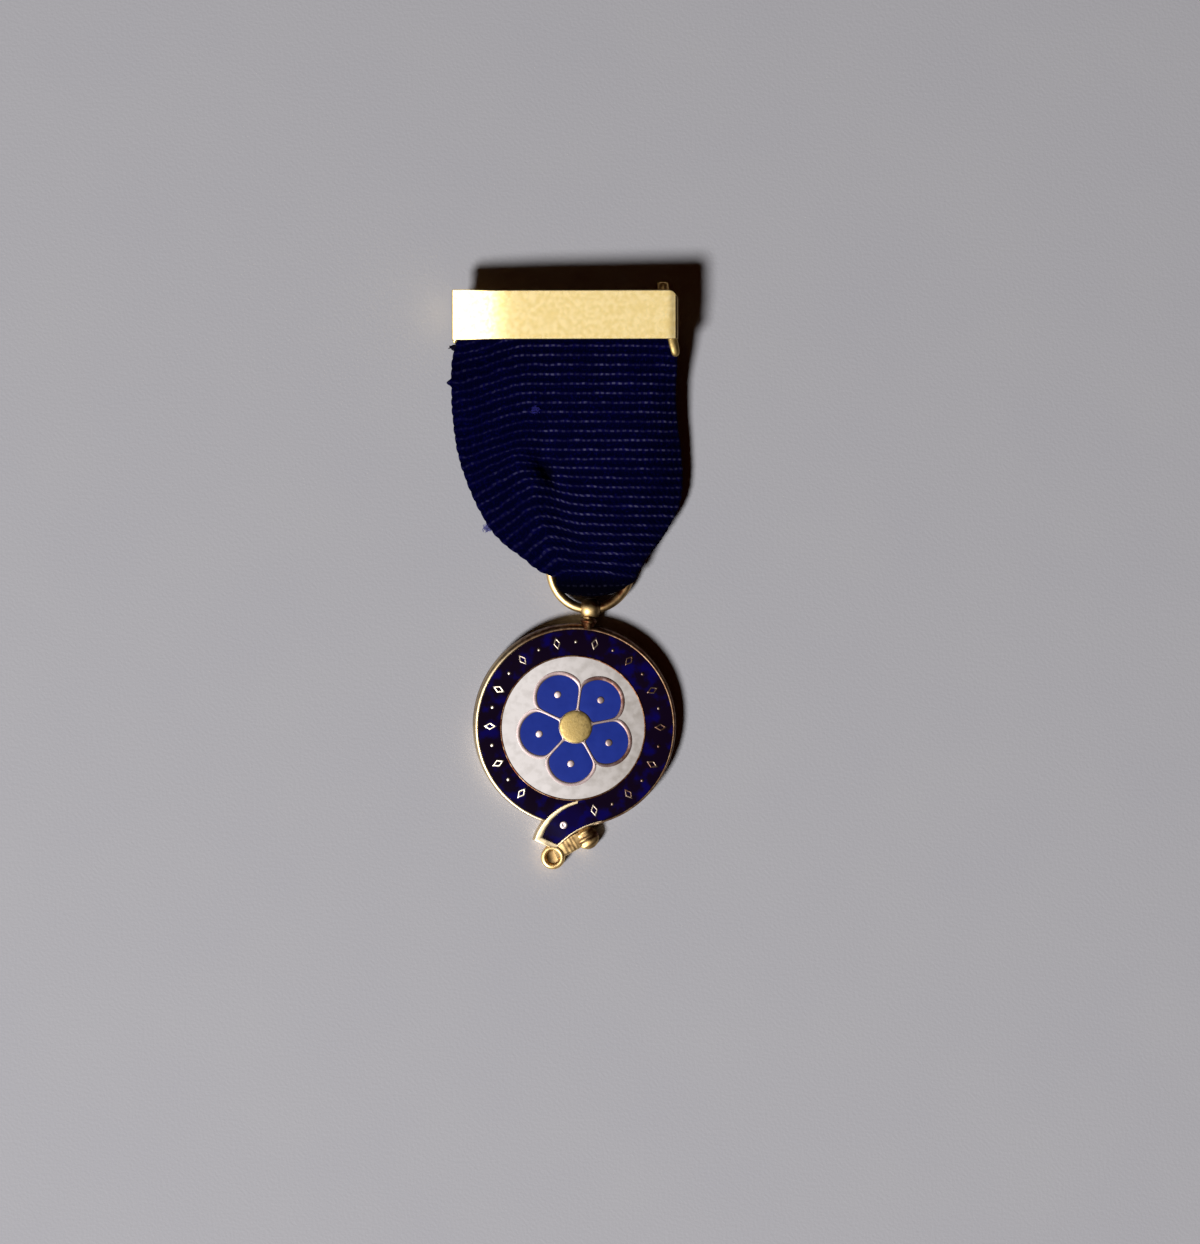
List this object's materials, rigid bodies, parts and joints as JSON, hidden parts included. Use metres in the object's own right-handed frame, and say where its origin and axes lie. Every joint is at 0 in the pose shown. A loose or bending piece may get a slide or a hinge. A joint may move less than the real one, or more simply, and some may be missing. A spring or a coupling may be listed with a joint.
{
  "type": "commemorative badge",
  "caption": "Gilt and enamel badge of a buckled strap round a blossom, hung by a ring from a ribbed ribbon folded over a brooch bar; it lies on its back.",
  "frame": {"origin": "middle of the medal's back face, on the surface the badge lies on", "axes": "+X to the right of the ribbon as seen from the front, +Y from the medal up the ribbon to the brooch bar, +Z out of the front"},
  "size_m": [0.0263, 0.0678, 0.0058],
  "materials": {
    "satin_gilt": "satin gilt, fine sandy texture",
    "gilt": "polished gilt, darkened in the corners",
    "pin_gilt": "worn gilt",
    "ribbon_blue": "ribbed dark navy grosgrain",
    "strap_enamel": "glossy dark blue enamel",
    "petal_enamel": "glossy royal blue enamel",
    "white_enamel": "glossy white enamel with faint grey stains"
  },
  "bodies": {
    "root": {"brooch_plate": "satin_gilt", "brooch_pin": "pin_gilt", "ribbon": "ribbon_blue", "suspension_ring": "gilt", "medal_body": "gilt", "belt_enamel": "strap_enamel", "ground_enamel": "white_enamel", "petal_enamel_1": "petal_enamel", "petal_enamel_2": "petal_enamel", "petal_enamel_3": "petal_enamel", "petal_enamel_4": "petal_enamel", "petal_enamel_5": "petal_enamel"}
  },
  "joints": []
}
